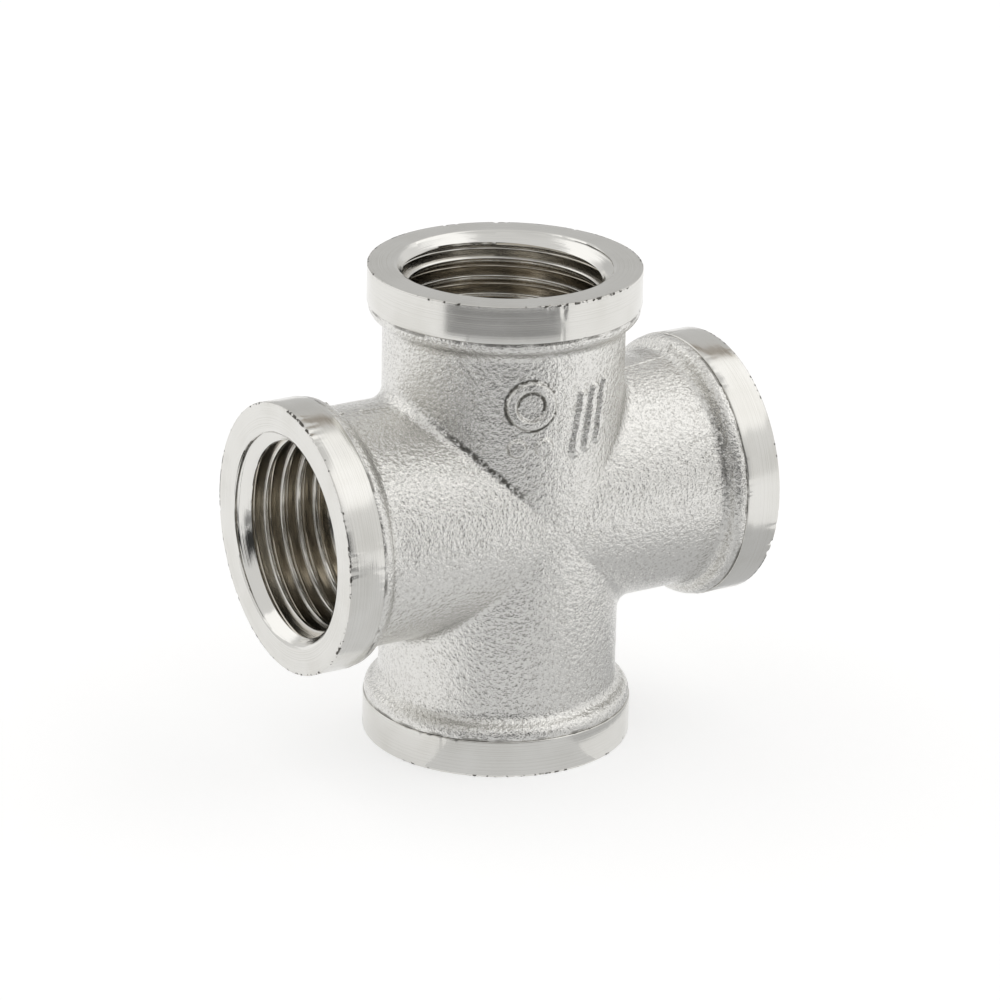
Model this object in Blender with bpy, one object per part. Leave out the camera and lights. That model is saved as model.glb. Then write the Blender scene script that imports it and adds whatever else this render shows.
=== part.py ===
"""Pipe cross: four equal female G 1/2 ends on one forged and nickel-plated brass body.

The real fitting is a single forging. Its solids are divided here where the form, the finish or the job
changes: the hub with the waterways, four threaded sockets in the forged skin, and four turned collars.
The origin is where the axes of the four ends cross. The runs lie along X and Z.
"""

import math

import bmesh
import bpy
from mathutils import Matrix, Vector

# Driving dimensions, in metres
END_TO_END = 0.0480
COLLAR_DIAMETER = 0.0265
COLLAR_WIDTH = 0.0037
COLLAR_EDGE = 0.00015
ARM_DIAMETER = 0.0235
SHOULDER_DIAMETER = 0.0263
SHOULDER_RUN = 0.0021
HUB_HALF = 0.0121
SEAM = 0.0003
WATERWAY_DIAMETER = 0.0170
MOUTH_DIAMETER = 0.0214
COUNTERSINK_DEPTH = 0.00145

# Parallel pipe thread, size G 1/2
THREAD_MAJOR_DIAMETER = 0.020955
THREAD_MINOR_DIAMETER = 0.018631
THREAD_PITCH = 0.0254 / 14
FLAT_SHARE = 1 / 6
FULL_THREAD_END = 0.0148
THREAD_FADE_END = 0.0130

FACETS = 32
SHOULDER_STEPS = 3
OVERCUT = 0.001
MERGE_DISTANCE = 1e-7

# Worked out from the driving dimensions
END_FACE = END_TO_END / 2
COLLAR_START = END_FACE - COLLAR_WIDTH
SOCKET_START = HUB_HALF + SEAM
SOCKET_END = COLLAR_START - SEAM
ARM_RADIUS = ARM_DIAMETER / 2
COLLAR_RADIUS = COLLAR_DIAMETER / 2
MINOR_RADIUS = THREAD_MINOR_DIAMETER / 2
MAJOR_RADIUS = THREAD_MAJOR_DIAMETER / 2

# Each end's name and the turn about Y that carries +Z onto its axis
ENDS = {"top": 0, "right": 90, "bottom": 180, "left": 270}


def clear_scene():
    for thing in list(bpy.data.objects):
        bpy.data.objects.remove(thing)


def metal(name, colour, roughness):
    material = bpy.data.materials.new(name)
    material.use_nodes = True
    shader = material.node_tree.nodes["Principled BSDF"]
    shader.inputs["Base Color"].default_value = (*colour, 1)
    shader.inputs["Metallic"].default_value = 1
    shader.inputs["Roughness"].default_value = roughness
    return material


def add_object(name, mesh_data, parent, material=None):
    """Links a new object for this bmesh, shaded smooth apart from its real edges."""
    mesh = bpy.data.meshes.new(name)
    mesh_data.to_mesh(mesh)
    mesh_data.free()
    mesh.shade_smooth()
    mesh.set_sharp_from_angle(angle=math.radians(25))
    if material:
        mesh.materials.append(material)
    thing = bpy.data.objects.new(name, mesh)
    bpy.context.scene.collection.objects.link(thing)
    thing.parent = parent
    return thing


def as_cutter(thing):
    thing.hide_render = True
    thing.display_type = "WIRE"


def chain(solid, points):
    """Joins (radius, height) points with edges, in the XZ half-plane. Returns its geometry."""
    corners = [solid.verts.new((radius, 0, height)) for radius, height in points]
    edges = [solid.edges.new(pair) for pair in zip(corners, corners[1:])]
    return corners + edges


def turn_round_z(solid, outline):
    """Spins an outline a full turn about Z and closes the seam."""
    bmesh.ops.spin(
        solid, geom=outline, cent=(0, 0, 0), axis=(0, 0, 1), angle=math.tau, steps=FACETS, use_merge=True
    )
    bmesh.ops.remove_doubles(solid, verts=solid.verts, dist=MERGE_DISTANCE)


def turned(points):
    """A closed solid turned about Z from an outline that starts and ends on the axis."""
    solid = bmesh.new()
    turn_round_z(solid, chain(solid, points))
    bmesh.ops.recalc_face_normals(solid, faces=solid.faces)
    return solid


def shoulder_outline():
    """The ogee from the arm to the shoulder's rim, as (radius, height): a hollow arc, then a round one."""
    rise = SHOULDER_DIAMETER / 2 - ARM_RADIUS
    lean = 2 * math.atan(rise / SHOULDER_RUN)
    arc_radius = SHOULDER_RUN / (2 * math.sin(lean))
    turns = [lean * step / SHOULDER_STEPS for step in range(SHOULDER_STEPS + 1)]
    arc = [(arc_radius * (1 - math.cos(a)), arc_radius * math.sin(a)) for a in turns]
    foot = SOCKET_END - SHOULDER_RUN
    hollow = [(ARM_RADIUS + out, foot + along) for out, along in arc]
    rounded = [(ARM_RADIUS + rise - out, SOCKET_END - along) for out, along in reversed(arc[:-1])]
    return hollow + rounded


def socket_blank():
    """The forged arm from the hub to the collar, still solid inside."""
    return turned([(0, SOCKET_START), (ARM_RADIUS, SOCKET_START), *shoulder_outline(), (0, SOCKET_END)])


def collar_blank():
    """The turned band at the end of an arm, still solid inside, with its sharp edges broken."""
    inset = COLLAR_RADIUS - COLLAR_EDGE
    return turned([
        (0, COLLAR_START),
        (inset, COLLAR_START),
        (COLLAR_RADIUS, COLLAR_START + COLLAR_EDGE),
        (COLLAR_RADIUS, END_FACE - COLLAR_EDGE),
        (inset, END_FACE),
        (0, END_FACE),
    ])


def countersink():
    """The cone that opens the mouth of the thread."""
    slope = (MOUTH_DIAMETER / 2 - MINOR_RADIUS) / COUNTERSINK_DEPTH
    wide = MOUTH_DIAMETER / 2 + slope * OVERCUT
    narrow = MINOR_RADIUS - slope * OVERCUT
    low = END_FACE - COUNTERSINK_DEPTH - OVERCUT
    return turned([(0, low), (narrow, low), (wide, END_FACE + OVERCUT), (0, END_FACE + OVERCUT)])


def thread_depth_share(height):
    """1 along the full thread, falling to 0 where the tap's tapered lead runs out."""
    share = (height - THREAD_FADE_END) / (FULL_THREAD_END - THREAD_FADE_END)
    return max(0.0, min(1.0, share))


def thread_pitch_outline(height):
    """One pitch of the 55 degree thread with flat crest and root, going up from a height."""
    flank = 0.5 - FLAT_SHARE
    return [
        (MINOR_RADIUS, height),
        (MINOR_RADIUS, height + FLAT_SHARE * THREAD_PITCH),
        (MAJOR_RADIUS, height + (FLAT_SHARE + flank) * THREAD_PITCH),
        (MAJOR_RADIUS, height + (2 * FLAT_SHARE + flank) * THREAD_PITCH),
        (MINOR_RADIUS, height + THREAD_PITCH),
    ]


def cap_open_end(solid, middle_height, above):
    """Closes the upper or the lower helical end of the tap with a fan to the axis."""
    rim = [e for e in solid.edges if e.is_boundary and (e.verts[0].co.z > middle_height) == above]
    height = sum(e.verts[0].co.z for e in rim) / len(rim)
    made = bmesh.ops.extrude_edge_only(solid, edges=rim)
    tips = [v for v in made["geom"] if isinstance(v, bmesh.types.BMVert)]
    bmesh.ops.pointmerge(solid, verts=tips, merge_co=Vector((0, 0, height)))


def tap():
    """The right-hand tap that cuts one end's thread: a helical sweep of one pitch, capped at both ends."""
    low = HUB_HALF - THREAD_PITCH
    turns = math.ceil((END_FACE + OVERCUT - low) / THREAD_PITCH)
    solid = bmesh.new()
    bmesh.ops.spin(
        solid,
        geom=chain(solid, thread_pitch_outline(low)),
        cent=(0, 0, 0),
        axis=(0, 0, 1),
        dvec=(0, 0, THREAD_PITCH / FACETS),
        angle=math.tau * turns,
        steps=FACETS * turns,
    )
    bmesh.ops.remove_doubles(solid, verts=solid.verts, dist=MERGE_DISTANCE)
    for point in solid.verts:
        radius = math.hypot(point.co.x, point.co.y)
        wanted = MINOR_RADIUS + (radius - MINOR_RADIUS) * thread_depth_share(point.co.z)
        point.co.x *= wanted / radius
        point.co.y *= wanted / radius
    middle = (low + END_FACE) / 2
    cap_open_end(solid, middle, above=True)
    cap_open_end(solid, middle, above=False)
    bmesh.ops.recalc_face_normals(solid, faces=solid.faces)
    return solid


def hub():
    """The crossing of the two runs: four hollow quarters that meet on the diagonal planes."""
    solid = bmesh.new()
    bore = WATERWAY_DIAMETER / 2
    wall = [(bore, 0), (bore, HUB_HALF), (ARM_RADIUS, HUB_HALF), (ARM_RADIUS, 0)]
    turn_round_z(solid, chain(solid, wall))
    for side in (-1, 1):
        bmesh.ops.bisect_plane(
            solid,
            geom=solid.verts[:] + solid.edges[:] + solid.faces[:],
            plane_co=(0, 0, 0),
            plane_no=(side, 0, -1),
            clear_outer=True,
        )
    quarter = solid.verts[:] + solid.edges[:] + solid.faces[:]
    for turn in (90, 180, 270):
        copy = bmesh.ops.duplicate(solid, geom=quarter)["geom"]
        corners = [v for v in copy if isinstance(v, bmesh.types.BMVert)]
        matrix = Matrix.Rotation(math.radians(turn), 3, "Y")
        bmesh.ops.rotate(solid, verts=corners, cent=(0, 0, 0), matrix=matrix)
    bmesh.ops.remove_doubles(solid, verts=solid.verts, dist=MERGE_DISTANCE)
    bmesh.ops.recalc_face_normals(solid, faces=solid.faces)
    return solid


def cut(thing, cutter):
    boolean = thing.modifiers.new(cutter.name, "BOOLEAN")
    boolean.operation = "DIFFERENCE"
    boolean.solver = "EXACT"
    boolean.object = cutter


def add_end(name, turn, centre, forged, bright):
    """One threaded end: its socket and collar on an empty that points along the end's axis."""
    axis = bpy.data.objects.new(f"{name}_axis", None)
    bpy.context.scene.collection.objects.link(axis)
    axis.parent = centre
    axis.rotation_euler = (0, math.radians(turn), 0)
    cutters = [
        add_object(f"{name}_tap", tap(), axis),
        add_object(f"{name}_countersink", countersink(), axis),
    ]
    socket = add_object(f"{name}_socket", socket_blank(), axis, forged)
    collar = add_object(f"{name}_collar", collar_blank(), axis, bright)
    cut(socket, cutters[0])
    for cutter in cutters:
        as_cutter(cutter)
        cut(collar, cutter)


def main():
    clear_scene()
    forged = metal("nickel_over_forged_brass", (0.76, 0.75, 0.72), 0.42)
    bright = metal("nickel_over_turned_brass", (0.80, 0.79, 0.76), 0.18)
    centre = bpy.data.objects.new("cross_centre", None)
    bpy.context.scene.collection.objects.link(centre)
    add_object("hub", hub(), centre, forged)
    for name, turn in ENDS.items():
        add_end(name, turn, centre, forged, bright)


main()
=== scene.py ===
import math

import bmesh
import bpy
from mathutils import Matrix, Vector, noise


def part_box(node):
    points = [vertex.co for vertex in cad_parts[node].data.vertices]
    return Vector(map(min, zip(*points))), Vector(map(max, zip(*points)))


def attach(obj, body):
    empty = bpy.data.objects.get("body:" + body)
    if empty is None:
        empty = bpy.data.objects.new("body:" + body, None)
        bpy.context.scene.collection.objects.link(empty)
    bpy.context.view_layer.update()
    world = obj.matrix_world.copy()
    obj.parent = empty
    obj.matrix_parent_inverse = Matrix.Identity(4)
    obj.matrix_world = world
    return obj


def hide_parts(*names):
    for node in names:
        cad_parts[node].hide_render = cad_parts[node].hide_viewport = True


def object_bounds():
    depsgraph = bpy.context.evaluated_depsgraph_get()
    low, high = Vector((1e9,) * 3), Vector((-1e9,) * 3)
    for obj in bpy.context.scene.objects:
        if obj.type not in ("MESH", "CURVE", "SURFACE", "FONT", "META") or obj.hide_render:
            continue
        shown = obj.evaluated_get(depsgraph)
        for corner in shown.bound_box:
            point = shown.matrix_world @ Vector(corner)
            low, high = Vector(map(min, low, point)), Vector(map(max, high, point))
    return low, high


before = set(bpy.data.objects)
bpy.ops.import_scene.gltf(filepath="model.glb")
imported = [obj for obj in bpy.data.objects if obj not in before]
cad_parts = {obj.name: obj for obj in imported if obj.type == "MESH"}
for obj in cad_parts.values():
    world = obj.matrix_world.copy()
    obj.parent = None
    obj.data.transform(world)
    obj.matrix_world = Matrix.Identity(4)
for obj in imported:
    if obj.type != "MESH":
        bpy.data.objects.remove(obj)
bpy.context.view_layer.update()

# The forged body: one hot brass forging with four equal arms, blasted to a fine satin grain and nickel
# plated. Each arm swells in an ogee to the shoulder under its turned ring, and the arms run into each
# other in soft valleys. Inside are two plain drilled waterways that cross.

steps_round = 240
arm_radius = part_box("hub")[1].y
hub_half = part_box("hub")[1].z
shoulder_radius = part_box("top_socket")[1].y
ring_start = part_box("top_collar")[0].z
end_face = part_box("top_collar")[1].z
ring_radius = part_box("top_collar")[1].y
ogee_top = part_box("top_socket")[1].z
ogee_run = 0.0021
ogee_foot = ogee_top - ogee_run
pocket_radius = 0.0107
thread_minor_radius = 0.018631 / 2
waterway_radius = 0.0085
waterway_end = hub_half - 0.0008
valley_ball_side = 0.0016
valley_ball_front = 0.0008
valley_fades_at_fold = 0.01
skin_starts = 0.0110
swell_height = 0.000030
swell_length = 0.0037
ripple_height = 0.000010
ripple_length = 0.0013
relief_fade = 0.001
end_turns = {"top": 0, "right": 90, "bottom": 180, "left": 270}


def chain(solid, points):
    """Joins (radius, height) points with edges, in the XZ half-plane. Returns its geometry."""
    corners = [solid.verts.new((radius, 0, height)) for radius, height in points]
    edges = [solid.edges.new(pair) for pair in zip(corners, corners[1:])]
    return corners + edges


def turn_round_z(solid, outline, steps):
    bmesh.ops.spin(
        solid, geom=outline, cent=(0, 0, 0), axis=(0, 0, 1), angle=math.tau, steps=steps, use_merge=True
    )
    bmesh.ops.remove_doubles(solid, verts=solid.verts, dist=1e-6)


def turned_about_y(degrees):
    """The turn that carries +Z onto an end's axis."""
    return Matrix.Rotation(math.radians(degrees), 3, "Y")


def ogee(steps):
    """The swell from the arm to the shoulder, as (radius, height): a hollow arc, then a round one."""
    rise = shoulder_radius - arm_radius
    lean = 2 * math.atan(rise / ogee_run)
    arc_radius = ogee_run / (2 * math.sin(lean))
    arc = [
        (arc_radius * (1 - math.cos(lean * step / steps)), arc_radius * math.sin(lean * step / steps))
        for step in range(steps + 1)
    ]
    hollow = [(arm_radius + out, ogee_foot + along) for out, along in arc]
    rounded = [(shoulder_radius - out, ogee_top - along) for out, along in reversed(arc[:-1])]
    return hollow + rounded


def arm_outline():
    """One arm from the outer valley over the shoulder and down the bore to the inner valley."""
    rows = 60
    crowding = 1.4
    inner_rows = 4
    skin = [(arm_radius, ogee_foot * (row / rows) ** crowding) for row in range(rows)]
    rim_edge = 0.00008
    rim = [
        (shoulder_radius, ring_start - rim_edge),
        (shoulder_radius - 0.3 * rim_edge, ring_start - 0.3 * rim_edge),
        (shoulder_radius - rim_edge, ring_start),
    ]
    pocket = [(pocket_radius, ring_start), (pocket_radius, hub_half), (thread_minor_radius, hub_half)]
    bore = [(waterway_radius, waterway_end * row / inner_rows) for row in range(inner_rows, -1, -1)]
    return skin + ogee(8) + rim + pocket + bore


def lean_to_valley(solid):
    """Slides the rows along the arm so that the first one lies on the planes where the arms meet."""
    for point in solid.verts:
        outside = math.hypot(point.co.x, point.co.y) > skin_starts
        limit = ogee_foot if outside else waterway_end
        point.co.z += abs(point.co.x) * max(0, 1 - point.co.z / limit)


def valley_angle(angle, height):
    """The angle round the arm at which the valley comes nearest to a place on the skin."""
    nearest = angle
    for _ in range(5):
        slope = -math.sin(nearest)
        gap_round = arm_radius * (angle - nearest)
        gap_along = height - arm_radius * math.cos(nearest)
        nearest += (gap_round + gap_along * slope) / (1 + slope * slope) / arm_radius
        nearest = min(max(nearest, 0), math.pi / 2)
    return nearest


def fill_valley(solid):
    """Rounds the outer valley as if a ball were rolled along it, larger at the sides than in front."""
    for point in solid.verts:
        x, y, z = point.co
        if math.hypot(x, y) < skin_starts or z > arm_radius + 2 * valley_ball_side:
            continue
        angle = math.atan2(abs(y), abs(x))
        nearest = valley_angle(angle, z)
        side = math.cos(nearest) ** 2
        valley_ball = valley_ball_front + (valley_ball_side - valley_ball_front) * side
        fold = math.acos(math.sin(nearest) ** 2)
        reach = valley_ball * math.tan(fold / 2)
        distance = math.hypot(arm_radius * (angle - nearest), z - arm_radius * math.cos(nearest))
        if distance >= reach or fold < valley_fades_at_fold:
            continue
        own = Vector((math.cos(nearest), math.sin(nearest), 0))
        other = Vector((0, math.sin(nearest), math.cos(nearest)))
        middle = (own + other).normalized()
        away = (other - other.dot(own) * own).normalized()
        sideways = (away - away.dot(middle) * middle).normalized()
        swing = fold / 2 * distance / reach
        centre = middle * valley_ball / math.cos(fold / 2)
        on_ball = centre + valley_ball * (sideways * math.sin(swing) - middle * math.cos(swing))
        move = on_ball - away * distance
        point.co += Vector((math.copysign(move.x, x), math.copysign(move.y, y), move.z))


def four_arms(solid):
    """Copies the one arm round the crossing and joins the four along the valleys."""
    arm = solid.verts[:] + solid.edges[:] + solid.faces[:]
    for degrees in (90, 180, 270):
        copy = bmesh.ops.duplicate(solid, geom=arm)["geom"]
        corners = [v for v in copy if isinstance(v, bmesh.types.BMVert)]
        bmesh.ops.rotate(solid, verts=corners, cent=(0, 0, 0), matrix=turned_about_y(degrees))
    bmesh.ops.remove_doubles(solid, verts=solid.verts, dist=1e-6)
    bmesh.ops.recalc_face_normals(solid, faces=solid.faces)


mark_height = 0.00044
mark_wear_length = 0.0016
mark_middle = 0.0114
mark_soft_edge = 0.00040
mark_stroke = 0.00026
mark_half_width = 0.0064
mark_half_height = 0.0052
mark_ring_middle = Vector((-0.0036, 0.0022))
mark_ring_radius = 0.0019
mark_dot_radius = 0.00040
mark_dot_spread = 0.0013
mark_dot_drop = 0.0042
mark_bar_foot = Vector((0.0010, -0.0030))
mark_bar_step = Vector((0.00145, 0.0004))
mark_bar_reach = Vector((0.0009, 0.0056))


def over_front(point):
    """A place on the front of the top arm, unrolled: how far round to the right, and how far up."""
    return Vector((arm_radius * math.atan2(point.x, -point.y), point.z - mark_middle))


def in_mark(point):
    place = over_front(point)
    return point.z > 0 and abs(place.x) < mark_half_width and abs(place.y) < mark_half_height


def from_stroke(place, start, end):
    """The distance from a place to a straight stroke."""
    along = end - start
    share = min(max((place - start).dot(along) / along.length_squared, 0), 1)
    return (place - start - share * along).length


def mark_share(place):
    """The forge's plain check mark: a ring, two dots below it and three slanted bars. 1 on it, 0 off it."""
    gaps = [abs((place - mark_ring_middle).length - mark_ring_radius)]
    for side in (-1, 1):
        dot = mark_ring_middle + Vector((side * mark_dot_spread, -mark_dot_drop))
        gaps.append((place - dot).length - mark_dot_radius)
    for bar in range(3):
        foot = mark_bar_foot + bar * mark_bar_step
        gaps.append(from_stroke(place, foot, foot + mark_bar_reach))
    share = min(max((mark_stroke + mark_soft_edge - min(gaps)) / mark_soft_edge, 0), 1)
    return share * share * (3 - 2 * share)


def refine_mark(solid):
    """Gives the mark's patch of skin a mesh three times as fine, on the same round."""
    edges = [e for e in solid.edges if all(in_mark(v.co) for v in e.verts)]
    bmesh.ops.subdivide_edges(solid, edges=edges, cuts=2, use_grid_fill=True)
    for point in solid.verts:
        if in_mark(point.co) and point.co.y < 0 and math.hypot(point.co.x, point.co.y) > skin_starts:
            stretch = arm_radius / math.hypot(point.co.x, point.co.y)
            point.co.x *= stretch
            point.co.y *= stretch


def relief(point):
    """How far the forged skin stands out here: slow swells from the die and the raised mark."""
    radius = min(math.hypot(point.x, point.y), math.hypot(point.y, point.z))
    along = max(abs(point.x), abs(point.z))
    if radius < skin_starts:
        return 0
    fade = min(max((ogee_top - along) / relief_fade, 0), 1)
    swell = swell_height * noise.noise(point / swell_length)
    swell += ripple_height * noise.noise(point / ripple_length)
    out = fade * swell
    if in_mark(point) and point.y < 0:
        worn = 0.9 + 0.35 * noise.noise(point / mark_wear_length)
        out += mark_height * worn * mark_share(over_front(point))
    return out


def add_piece(name, solid, replaced=()):
    """Makes a piece of the fitting from a bmesh, smooth but for its real edges, on the one body."""
    mesh = bpy.data.meshes.new(name)
    solid.to_mesh(mesh)
    solid.free()
    mesh.shade_smooth()
    mesh.set_sharp_from_angle(angle=math.radians(35))
    piece = bpy.data.objects.new(name, mesh)
    bpy.context.scene.collection.objects.link(piece)
    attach(piece, "root")
    if replaced:
        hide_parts(*replaced)
    return piece


forging = bmesh.new()
turn_round_z(forging, chain(forging, arm_outline()), steps_round)
lean_to_valley(forging)
fill_valley(forging)
four_arms(forging)
refine_mark(forging)
forging.normal_update()
moves = [(point, point.normal * relief(point.co)) for point in forging.verts]
for point, move in moves:
    point.co += move
body = add_piece(
    "forged_cross_body", forging, ["hub"] + [f"{end}_socket" for end in end_turns]
)


class Wire:
    """A shader socket to reckon with: an expression on wires adds its Math nodes."""

    def __init__(self, tree, socket=None):
        self.tree = tree
        self.socket = socket

    def node(self, kind, settings=None, inputs=None, output=0):
        """Adds a node, sets it up, then fills its sockets with values or wires. Returns one output."""
        made = self.tree.nodes.new(f"ShaderNode{kind}")
        for name, value in (settings or {}).items():
            setattr(made, name, value)
        for name, value in (inputs or {}).items():
            if isinstance(value, Wire):
                self.tree.links.new(value.socket, made.inputs[name])
            else:
                made.inputs[name].default_value = value
        return Wire(self.tree, made.outputs[output])

    def reckon(self, operation, left, right=0.0):
        return self.node("Math", {"operation": operation}, {0: left, 1: right})

    def __add__(self, other):
        return self.reckon("ADD", self, other)

    def __sub__(self, other):
        return self.reckon("SUBTRACT", self, other)

    def __rsub__(self, other):
        return self.reckon("SUBTRACT", other, self)

    def __mul__(self, other):
        return self.reckon("MULTIPLY", self, other)

    def __pow__(self, other):
        return self.reckon("POWER", self, other)

    __radd__ = __add__
    __rmul__ = __mul__

    def rise(self, low, high):
        """0 below low, 1 above high, and smooth between them. With low over high it falls."""
        inputs = {"Value": self, "From Min": low, "From Max": high}
        return self.node("MapRange", {"interpolation_type": "SMOOTHSTEP"}, inputs)

    def both(self, low, high, soft):
        """1 between low and high, and 0 outside, with soft borders."""
        return self.rise(low - soft, low + soft) * self.rise(high + soft, high - soft)

    def mix_colours(self, without, with_it):
        return self.node("Mix", {"data_type": "RGBA"}, {0: self, 6: without, 7: with_it}, 2)

    def parts(self):
        """The three parts of a vector."""
        split = self.node("SeparateXYZ", None, {0: self}).socket.node
        return [Wire(self.tree, socket) for socket in split.outputs]

    def size(self):
        """The value without its sign."""
        return self.reckon("ABSOLUTE", self)

    def larger(self, other):
        return self.reckon("MAXIMUM", self, other)

    def smaller(self, other):
        return self.reckon("MINIMUM", self, other)


def new_metal(name):
    """A fully metallic material. Returns it, its shader, a wire with the place, and the place's parts."""
    material = bpy.data.materials.new(name)
    material.use_nodes = True
    tree = material.node_tree
    shader = tree.nodes["Principled BSDF"]
    shader.inputs["Metallic"].default_value = 1
    start = Wire(tree)
    place = start.node("TexCoord", output="Object")
    return material, shader, place, place.parts()


def from_axis(first, second):
    """The distance from an axis, from the two coordinates across it."""
    return (first * first + second * second) ** 0.5


def finish_metal(place, shader, colour, roughness, height, distance):
    """Joins the colour, the roughness and a bump to the shader. The bump is distance deep at height 1."""
    bump = place.node("Bump", None, {"Strength": 1.0, "Distance": distance, "Height": height})
    wires = {"Base Color": colour, "Roughness": roughness, "Normal": bump}
    for name, wire in wires.items():
        place.tree.links.new(wire.socket, shader.inputs[name])


nickel = (0.74, 0.732, 0.705, 1)
worn_nickel = (0.66, 0.65, 0.615, 1)
blasted_nickel = (0.775, 0.767, 0.742, 1)
pitted_nickel = (0.60, 0.59, 0.56, 1)
# The colour of the shade painted on the forged body.
painted_shade_nickel = (0.13, 0.125, 0.11, 1)
grain_depth = 0.000150
speck_scale = 2300
# Where shade is painted on the forged body: the right arm's ogee hollow, the top-left valley, and round the
# mark's ring.
painted_shade_hollow = (ogee_foot + 0.0005, ogee_foot + 0.0010)
painted_shade_hollow_heights = (0.0012, 0.0084)
painted_shade_valley = (-0.0103, -0.0038)
painted_shade_valley_width = 0.0007
painted_shade_mark_foot = (0.00050, 0.00078)


def forged_nickel():
    """Blasted and plated: a dense grain of small pits and bumps, and smooth where it was drilled."""
    material, shader, place, (x, y, z) = new_metal("blasted_nickel")
    radius = from_axis(x, y).smaller(from_axis(y, z))
    skin = radius.rise(skin_starts - 0.0002, skin_starts)
    grain = place.node("TexNoise", None, {"Vector": place, "Scale": 3100, "Detail": 2.0, "Roughness": 0.6})
    coarse = place.node("TexNoise", None, {"Vector": place, "Scale": 1300, "Detail": 1.0})
    patches = place.node("TexNoise", None, {"Vector": place, "Scale": 330, "Detail": 2.0})
    height = (grain + 0.6 * coarse) * (skin * 0.95 + 0.05)
    colour = (grain.rise(0.28, 0.52)).mix_colours(pitted_nickel, blasted_nickel)
    # Painted shade: dark specks and patches in the forging's narrow places, where shade and dark reflections
    # fall.
    speck = place.node("TexNoise", None, {"Vector": place, "Scale": speck_scale, "Detail": 2.0})
    end = x.size().larger(z.size())
    front = y.rise(0, -0.002)
    # Painted shade: dark specks in the hollow of the right arm's ogee, mostly on its upper side.
    hollow = x.both(*painted_shade_hollow, 0.0004) * speck.rise(0.38, 0.58)
    hollow = hollow * (0.15 + 0.85 * z.both(*painted_shade_hollow_heights, 0.0020))
    # Painted shade: dark patches on the shoulder just under each turned ring.
    groove = end.rise(ogee_top - 0.00005, ogee_top + 0.0001) * patches.rise(0.42, 0.56)
    # Painted shade: dark specks along the front of the valley between the top and left arms.
    valley = (x + z).both(-0.00005, painted_shade_valley_width, 0.0002) * x.both(*painted_shade_valley, 0.0011)
    valley = front * valley * speck.rise(0.38, 0.54)
    # Painted shade: dark patches round the foot of the mark's raised ring, on the front.
    across = x.reckon("ARCTAN2", x, 0 - y) * arm_radius - mark_ring_middle.x
    climb = z - (mark_middle + mark_ring_middle.y)
    off_ring = (from_axis(across, climb) - mark_ring_radius).size()
    foot = front * off_ring.both(*painted_shade_mark_foot, 0.0001) * (0.5 * patches + 0.5 * speck).rise(0.44, 0.54)
    dark = (0.75 * hollow + 0.7 * groove + 0.9 * valley + foot).smaller(1.0) * skin
    colour = dark.mix_colours(colour, painted_shade_nickel)
    roughness = 0.09 + 0.10 * patches + 0.03 * grain - 0.02 * (1 - skin)
    finish_metal(place, shader, colour, roughness, height, grain_depth)
    return material


body.data.materials.append(forged_nickel())

# The flash line: the thin ridge of metal squeezed out between the two halves of the forging die. It was
# trimmed off and blasted, so that only broken traces stand along the sides of the arms.

flash_start = 0.0128
flash_end = ogee_top - 0.0006
flash_height = 0.00016
flash_half_width = 0.00016
flash_root = 0.00006
flash_steps = 90
flash_break_length = 0.0016
flash_ripple_length = 0.0004
flash_wander = 0.00006
flash_wander_length = 0.0009
# Each trace's end, the side of it, and how far off the parting plane it starts and stops.
flash_traces = {
    "top_right_side": ("top", 1, 0.0004, 0.0002),
    "right_upper": ("right", -1, -0.0014, -0.0001),
    "right_under": ("right", 1, -0.0003, 0.0002),
    "bottom_right_side": ("bottom", -1, 0.0003, -0.0002),
    "left_upper": ("left", 1, -0.0006, 0.0001),
    "left_under": ("left", -1, 0.0003, -0.0002),
}


def skin_radius(height):
    """The arm's radius at a height, over the hollow and the round part of the ogee."""
    rise = shoulder_radius - arm_radius
    arc_radius = ogee_run / (2 * math.sin(2 * math.atan(rise / ogee_run)))
    along = max(height - ogee_foot, 0)
    if along < ogee_run / 2:
        return arm_radius + arc_radius - math.sqrt(arc_radius ** 2 - along ** 2)
    return shoulder_radius - arc_radius + math.sqrt(arc_radius ** 2 - (ogee_run - along) ** 2)


def flash_trace(side, drift_low, drift_high, seed):
    """One trace along the +X side (1) or the -X side (-1) of the top arm, sunk a little into the skin."""
    bar = bmesh.new()
    bmesh.ops.create_cube(bar, size=1)
    long_edges = [e for e in bar.edges if abs(e.verts[0].co.z - e.verts[1].co.z) > 0.5]
    bmesh.ops.subdivide_edges(bar, edges=long_edges, cuts=flash_steps)
    for point in bar.verts:
        share = point.co.z + 0.5
        height = flash_start + (flash_end - flash_start) * share
        whole = noise.noise(Vector((height / flash_break_length, seed, 0)))
        whole += 0.4 * noise.noise(Vector((height / flash_ripple_length, seed, 5)))
        stands = flash_height * min(max(1.3 * whole + 0.35, -0.4), 1)
        on_top = point.co.x > 0
        across = drift_low + (drift_high - drift_low) * share
        across += flash_wander * noise.noise(Vector((height / flash_wander_length, seed, 9)))
        across += math.copysign(flash_half_width * (0.2 if on_top else 1), point.co.y)
        radius = skin_radius(height) + (stands if on_top else -flash_root)
        angle = across / arm_radius
        point.co = Vector((side * radius * math.cos(angle), radius * math.sin(angle), height))
    bmesh.ops.recalc_face_normals(bar, faces=bar.faces)
    return bar


for number, (name, (end, side, drift_low, drift_high)) in enumerate(flash_traces.items()):
    trace = flash_trace(side, drift_low, drift_high, 3.7 * number)
    bmesh.ops.rotate(trace, verts=trace.verts, cent=(0, 0, 0), matrix=turned_about_y(end_turns[end]))
    piece = add_piece(f"flash_line_{name}", trace)
    piece.data.materials.append(body.data.materials[0])

# The turned rings: the last few millimetres of each arm, turned in a lathe to a bright band with a flat
# end face, then plated. The tool leaves fine lines round the axis and a broken edge with small nicks.

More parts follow.
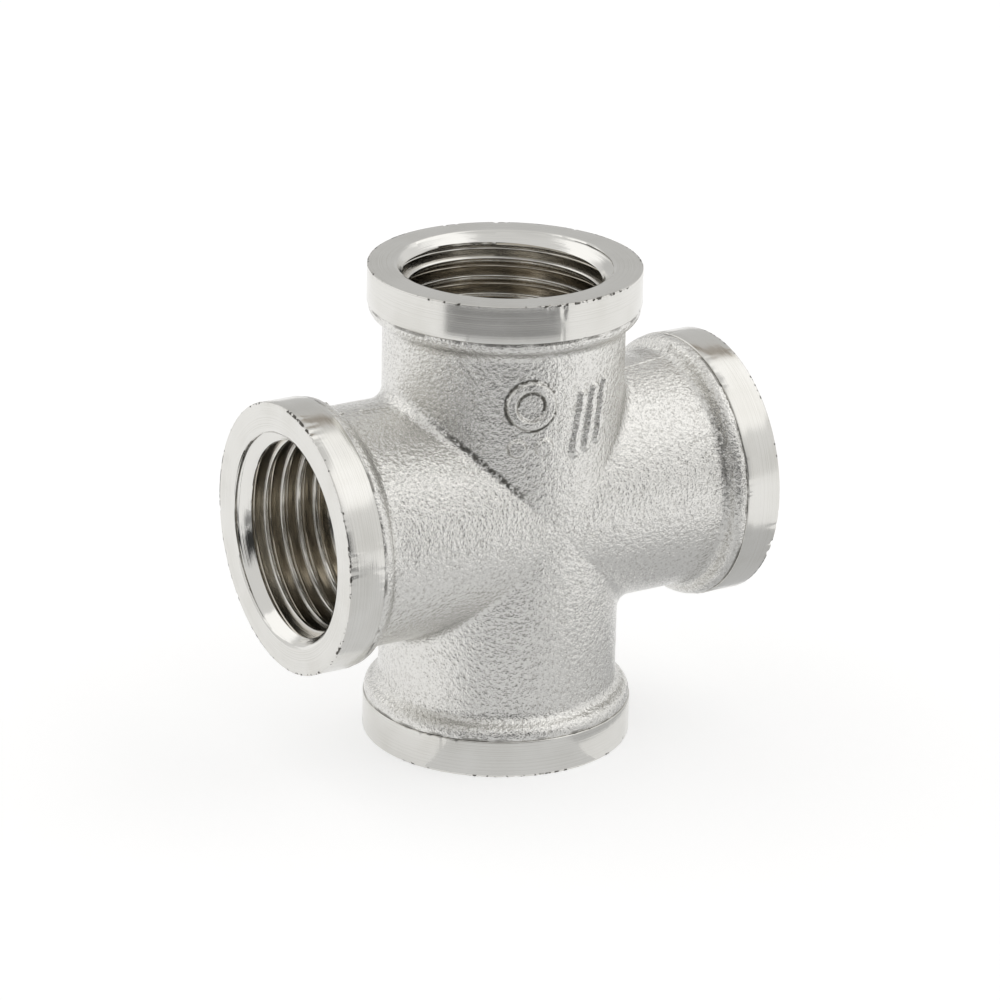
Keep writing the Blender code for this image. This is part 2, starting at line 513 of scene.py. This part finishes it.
ring_edge = 0.00011
ring_steps = 512
nick_depth = 0.00016
nick_length = 0.0006
nick_spacing = 0.0031
# The colour of the shade painted along the rings' edges.
nick_shade_colour = (0.10, 0.095, 0.085, 1)
tool_line_depth = 0.0000045


def ring_outline():
    """The closed outline of a ring, with its outer edges rounded over."""
    arc = [math.radians(90) * step / 3 for step in range(4)]
    inset = ring_radius - ring_edge
    top = [(inset + ring_edge * math.sin(a), end_face - ring_edge + ring_edge * math.cos(a)) for a in arc]
    low = [(inset + ring_edge * math.cos(a), ring_start + ring_edge - ring_edge * math.sin(a)) for a in arc]
    face = [pocket_radius + (inset - pocket_radius) * step / 4 for step in range(5)]
    outside = [(ring_radius, end_face - (end_face - ring_start) * step / 4) for step in range(1, 4)]
    return (
        [(pocket_radius, ring_start)]
        + [(radius, end_face) for radius in face[:-1]]
        + top + outside + low
        + [(pocket_radius, ring_start)]
    )


def nick_edges(solid, seed):
    """Small dents along the rounded outer edges, where bits of metal broke away."""
    for point in solid.verts:
        radius = math.hypot(point.co.x, point.co.y)
        near_top = end_face - point.co.z < ring_edge * 1.01
        near_low = point.co.z - ring_start < ring_edge * 1.01
        if radius < ring_radius - ring_edge * 1.01 or not (near_top or near_low):
            continue
        value = noise.noise(point.co / nick_length + Vector((seed, 0, 0)))
        slow = noise.noise(point.co / nick_spacing + Vector((0, seed, 0)))
        depth = nick_depth * max(0, value + 0.6 * slow - 0.35)
        point.co.x *= 1 - depth / radius
        point.co.y *= 1 - depth / radius
        point.co.z += -depth if near_top else depth


def turned_nickel(name, along_name):
    """Lathe-turned and plated, with tool lines round the Z or the X axis."""
    material, shader, place, (x, y, z) = new_metal(name)
    if along_name == "z":
        radius, along = from_axis(x, y), z
    else:
        radius, along = from_axis(y, z), x
    travel = radius + along
    settings = {"noise_dimensions": "1D"}
    fine = place.node("TexNoise", settings, {"W": travel, "Scale": 9000, "Detail": 2.0})
    broad = place.node("TexNoise", settings, {"W": travel, "Scale": 1500, "Detail": 1.0})
    smear = place.node("TexNoise", None, {"Vector": place, "Scale": 260, "Detail": 2.0})
    # Painted shade: dark ticks along the rounded outer edges stand in for the dark reflections in the real
    # dents there.
    corner = ring_radius + end_face - (radius + along.size())
    nick_noise = place.node("TexNoise", None, {"Vector": place, "Scale": 2300, "Detail": 2.0})
    cluster = place.node("TexNoise", None, {"Vector": place, "Scale": 170, "Detail": 1.0})
    painted_nick_shade = corner.rise(0.00026, 0.00013) * (nick_noise + 0.9 * cluster).rise(1.02, 1.10)
    colour = (0.5 * fine + 0.5 * smear).rise(0.30, 0.62).mix_colours(worn_nickel, nickel)
    colour = painted_nick_shade.mix_colours(colour, nick_shade_colour)
    roughness = 0.11 + 0.09 * smear + 0.05 * fine + 0.3 * painted_nick_shade
    finish_metal(place, shader, colour, roughness, fine + 2.0 * broad, tool_line_depth)
    return material


turned_finish = {
    "z": turned_nickel("turned_nickel_upright", "z"),
    "x": turned_nickel("turned_nickel_level", "x"),
}
end_axis = {"top": "z", "right": "x", "bottom": "z", "left": "x"}

for number, (end, degrees) in enumerate(end_turns.items()):
    ring = bmesh.new()
    turn_round_z(ring, chain(ring, ring_outline()), ring_steps)
    bmesh.ops.recalc_face_normals(ring, faces=ring.faces)
    nick_edges(ring, 7.3 * number)
    bmesh.ops.rotate(ring, verts=ring.verts, cent=(0, 0, 0), matrix=turned_about_y(degrees))
    piece = add_piece(f"{end}_turned_ring", ring, [f"{end}_collar"])
    piece.data.materials.append(turned_finish[end_axis[end]])

# The bore threads: a right-hand parallel pipe thread tapped into each arm, with flat crests, broken at
# their edges, and round roots. A short cone opens its mouth, and it runs out above the waterway.

thread_major_radius = 0.020955 / 2
thread_pitch = 0.0254 / 14
root_rounding = 0.137329 * thread_pitch
crest_edge = 0.00006
flank_angle = math.radians(27.5)
full_thread_end = 0.0148
thread_fade_end = 0.0130
thread_steps = 256
mouth_lip_radius = 0.01040
mouth_lip_depth = 0.00014
cone_end_radius = 0.00938
cone_depth = 0.00140
thread_join = 2e-6
# The colour of the shade painted down in the bores.
painted_bore_shade = (0.56, 0.52, 0.45, 1)
tap_mark_depth = 0.000012
# The height of one crest on the side where the thread's sweep starts.
crest_heights = {"top": 0.02104, "right": 0.0206, "bottom": 0.0213, "left": 0.02039}


def thread_outline(start):
    """One pitch from crest to crest, going up: flat crest, broken edge, flank, round root, and back."""
    swing = math.pi / 2 - flank_angle
    arc = [swing * step / 3 for step in range(4)]
    crest_half = thread_pitch / 12 - crest_edge * math.tan(swing / 2)
    crest = [(thread_minor_radius, 0)] + [
        (thread_minor_radius + crest_edge * (1 - math.cos(a)), crest_half + crest_edge * math.sin(a))
        for a in arc
    ]
    root = [
        (thread_major_radius - root_rounding * (1 - math.cos(a)),
         thread_pitch / 2 - root_rounding * math.sin(a))
        for a in reversed(arc)
    ]
    middle = ((crest[-1][0] + root[0][0]) / 2, (crest[-1][1] + root[0][1]) / 2)
    going_in = crest + [middle] + root
    coming_back = [(radius, thread_pitch - height) for radius, height in reversed(going_in[:-1])]
    return [(radius, start + height) for radius, height in going_in + coming_back]


def mouth_radius(height):
    """The lip and the cone that open the bore, and nothing below them."""
    depth = end_face - height
    if depth < mouth_lip_depth:
        return pocket_radius + (mouth_lip_radius - pocket_radius) * depth / mouth_lip_depth
    share = (depth - mouth_lip_depth) / (cone_depth - mouth_lip_depth)
    return mouth_lip_radius + (cone_end_radius - mouth_lip_radius) * share


def cut_level(solid, height, drop=0):
    """Cuts the mesh level at a height. With drop 1 the part above goes, with -1 the part below."""
    geometry = solid.verts[:] + solid.edges[:] + solid.faces[:]
    bmesh.ops.bisect_plane(
        solid, geom=geometry, dist=1e-7, plane_co=(0, 0, height), plane_no=(0, 0, 1),
        clear_outer=drop == 1, clear_inner=drop == -1,
    )


def thread_turns(start, turns):
    """The bare thread: one turn swept along the helix, then stacked a pitch apart and joined."""
    solid = bmesh.new()
    bmesh.ops.spin(
        solid, geom=chain(solid, thread_outline(start)), cent=(0, 0, 0), axis=(0, 0, 1),
        dvec=(0, 0, thread_pitch / thread_steps), angle=math.tau, steps=thread_steps,
    )
    one_turn = solid.verts[:] + solid.edges[:] + solid.faces[:]
    for turn in range(1, turns):
        copy = bmesh.ops.duplicate(solid, geom=one_turn)["geom"]
        corners = [v for v in copy if isinstance(v, bmesh.types.BMVert)]
        bmesh.ops.translate(solid, verts=corners, vec=(0, 0, turn * thread_pitch))
    bmesh.ops.remove_doubles(solid, verts=solid.verts, dist=thread_join)
    return solid


def bore_wall(crest_height):
    """The threaded skin of one bore, with its run-out, its lip and its cone."""
    turns = math.ceil((end_face - hub_half) / thread_pitch) + 2
    start = crest_height - math.ceil((crest_height - hub_half) / thread_pitch + 1) * thread_pitch
    solid = thread_turns(start, turns)
    cut_level(solid, end_face, 1)
    cut_level(solid, hub_half, -1)
    cut_level(solid, end_face - mouth_lip_depth)
    for point in solid.verts:
        radius = math.hypot(point.co.x, point.co.y)
        share = (point.co.z - thread_fade_end) / (full_thread_end - thread_fade_end)
        share = min(max(share, 0), 1)
        wanted = thread_minor_radius + (radius - thread_minor_radius) * share
        wanted = min(max(wanted, mouth_radius(point.co.z)), pocket_radius)
        point.co.x *= wanted / radius
        point.co.y *= wanted / radius
    return solid


def back_bore_wall(solid):
    """Closes the skin behind: straight down from the lip's edge, and in to the foot of the thread."""
    middle = (end_face + hub_half) / 2
    rim = [e for e in solid.edges if e.is_boundary and e.verts[0].co.z > middle]
    foot = [e for e in solid.edges if e.is_boundary and e.verts[0].co.z < middle]
    made = bmesh.ops.extrude_edge_only(solid, edges=rim)["geom"]
    corners = [v for v in made if isinstance(v, bmesh.types.BMVert)]
    low_edges = [e for e in made if isinstance(e, bmesh.types.BMEdge)]
    bmesh.ops.translate(solid, verts=corners, vec=(0, 0, hub_half - end_face))
    bmesh.ops.bridge_loops(solid, edges=low_edges + foot)
    bmesh.ops.recalc_face_normals(solid, faces=solid.faces)


def tapped_nickel():
    """Plated thread: bright on the cone and along the crests, and darker and brownish down in the bore and
    in the thread's roots, which is painted shade.
    """
    material, shader, place, (x, y, z) = new_metal("tapped_nickel")
    radius = from_axis(x, y).smaller(from_axis(y, z))
    along = x.size().larger(z.size())
    depth = end_face - along
    inside = depth.rise(0.0012, 0.0026)
    root = radius.rise(thread_minor_radius + 0.00005, thread_minor_radius + 0.0004)
    # Painted shade: darker with depth in the bore, and most in the thread's roots.
    deep_shade = inside * (0.25 + 0.75 * root)
    smear = place.node("TexNoise", None, {"Vector": place, "Scale": 420, "Detail": 3.0})
    lines = place.node("TexNoise", {"noise_dimensions": "1D"}, {"W": radius + along, "Scale": 7000})
    shade = deep_shade * (0.8 + 0.4 * smear)
    colour = shade.mix_colours(nickel, painted_bore_shade)
    roughness = 0.07 + 0.05 * deep_shade + 0.06 * smear
    finish_metal(place, shader, colour, roughness, lines + 1.5 * smear, tap_mark_depth)
    return material


thread_finish = tapped_nickel()

for end, degrees in end_turns.items():
    wall = bore_wall(crest_heights[end])
    back_bore_wall(wall)
    bmesh.ops.rotate(wall, verts=wall.verts, cent=(0, 0, 0), matrix=turned_about_y(degrees))
    piece = add_piece(f"{end}_bore_thread", wall)
    piece.data.materials.append(thread_finish)

# The stage: a plain white floor under the lower end, pale walls all round, two soft boxes high on the
# left and the right, and darkness where the camera stands. Grey cards lie on the floor, which only the
# metal sees: two further out in front, and two near the foot, in front and to the right, which are
# painted shade standing in for the floor's shadow round the fitting.

floor_size = 6.0
floor_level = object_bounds()[0].z
card_lift = 0.0002


def stage_piece(name, solid, material):
    mesh = bpy.data.meshes.new(name)
    solid.to_mesh(mesh)
    solid.free()
    mesh.materials.append(material)
    thing = bpy.data.objects.new(name, mesh)
    bpy.context.scene.collection.objects.link(thing)
    return thing


def glow_paint(name, colour, glow):
    """Matt paint with a little light of its own."""
    material = bpy.data.materials.new(name)
    material.use_nodes = True
    shader = material.node_tree.nodes["Principled BSDF"]
    shader.inputs["Base Color"].default_value = (*colour, 1)
    shader.inputs["Roughness"].default_value = 1
    shader.inputs["Specular IOR Level"].default_value = 0
    shader.inputs["Emission Color"].default_value = (1, 1, 1, 1)
    shader.inputs["Emission Strength"].default_value = glow
    return material


floor = bmesh.new()
bmesh.ops.create_grid(floor, x_segments=1, y_segments=1, size=floor_size / 2)
bmesh.ops.translate(floor, verts=floor.verts, vec=(0, 0, floor_level))
stage_piece("floor", floor, glow_paint("white_floor", (0.60, 0.60, 0.60), 0.52))


def add_card(name, inner, outer, first, last, grey):
    """A grey card on the floor, cut as part of a ring, that only the metal sees. Angles as in the light."""
    solid = bmesh.new()
    edge = chain(solid, [(inner, 0), (outer, 0)])
    bmesh.ops.translate(solid, verts=solid.verts, vec=(0, 0, floor_level + card_lift))
    bmesh.ops.rotate(
        solid, verts=solid.verts, cent=(0, 0, 0), matrix=Matrix.Rotation(math.radians(first - 90), 3, "Z")
    )
    bmesh.ops.spin(
        solid, geom=edge, cent=(0, 0, 0), axis=(0, 0, 1), angle=math.radians(last - first), steps=24
    )
    card = stage_piece(name, solid, glow_paint(name, (0, 0, 0), grey))
    card.visible_camera = False
    card.visible_diffuse = False
    card.visible_shadow = False


add_card("far_card", 0.128, 0.60, -79, 17, 0.30)
add_card("front_card", 0.095, 0.128, -79, 17, 0.53)
# Painted shade: the two cards near the foot stand in for the floor's shadow round the fitting, as the metal
# sees it.
add_card("near_floor_shade_card", 0.013, 0.095, -62, 17, 0.72)
add_card("right_floor_shade_card", 0.018, 0.052, 17, 100, 0.56)


def studio_light():
    """The light by direction: azimuth 0 is the front, -Y, and it grows towards +X. In degrees."""
    world = bpy.data.worlds.new("studio")
    world.use_nodes = True
    tree = world.node_tree
    tree.nodes.clear()
    towards = Wire(tree).node("TexCoord", output="Generated")
    x, y, z = towards.parts()
    turn = x.reckon("ARCTAN2", x, 0 - y) * math.degrees(1)
    # One turn that runs past the back, so that an area may cross it.
    past_back = turn + 360 * turn.rise(-120.0, -120.001)
    climb = z.reckon("ARCSINE", z) * math.degrees(1)
    brown_strip = past_back.both(122, 150, 3) * climb.both(40, 49, 1)
    areas = {
        "right wall": (turn.both(20, 115, 6) * climb.both(-30, 33, 5), 0.85),
        "back wall": (past_back.both(122, 185, 6) * climb.both(-30, 38, 4), 0.62),
        "camera side": (turn.both(-79, 17, 3) * climb.both(-40, 22, 4), 0.04),
        "ceiling": (climb.both(68, 120, 4), 0.70),
        "right soft box": (turn.both(20, 125, 5) * climb.both(33, 66, 3), 1.28),
        "left soft box": (past_back.both(185, 280, 5) * climb.both(22, 64, 4), 1.28),
        "brown strip": (brown_strip, 0.30),
    }
    strength = 0.80
    for share, light in areas.values():
        strength = share * light + (1 - share) * strength
    seen = towards.node("LightPath", output="Is Camera Ray")
    strength = seen * 1.0 + (1 - seen) * strength
    brown = (1 - seen) * brown_strip
    colour = brown.mix_colours((1.0, 0.995, 0.985, 1), (1.0, 0.86, 0.70, 1))
    light = towards.node("Background", None, {"Color": colour, "Strength": strength})
    output = tree.nodes.new("ShaderNodeOutputWorld")
    tree.links.new(light.socket, output.inputs["Surface"])
    bpy.context.scene.world = world


studio_light()
bpy.context.scene.view_settings.view_transform = "Standard"

# The camera looks down at the crossing from the front left with a long lens.

camera_round = -31.249
camera_height = 21.028
camera_roll = 1.275
camera_distance = 0.430207
camera_data = bpy.data.cameras.new("camera")
camera_data.sensor_width = 36
camera_data.lens = 158.54
camera_data.shift_x = -0.00018
camera_data.shift_y = -0.0028
camera_data.clip_start = 0.01
camera = bpy.data.objects.new("camera", camera_data)
camera_turn = (
    Matrix.Rotation(math.radians(camera_round), 4, "Z")
    @ Matrix.Rotation(math.radians(90 - camera_height), 4, "X")
    @ Matrix.Rotation(math.radians(camera_roll), 4, "Z")
)
camera.matrix_world = camera_turn @ Matrix.Translation((0, 0, camera_distance))
bpy.context.scene.collection.objects.link(camera)
bpy.context.scene.camera = camera
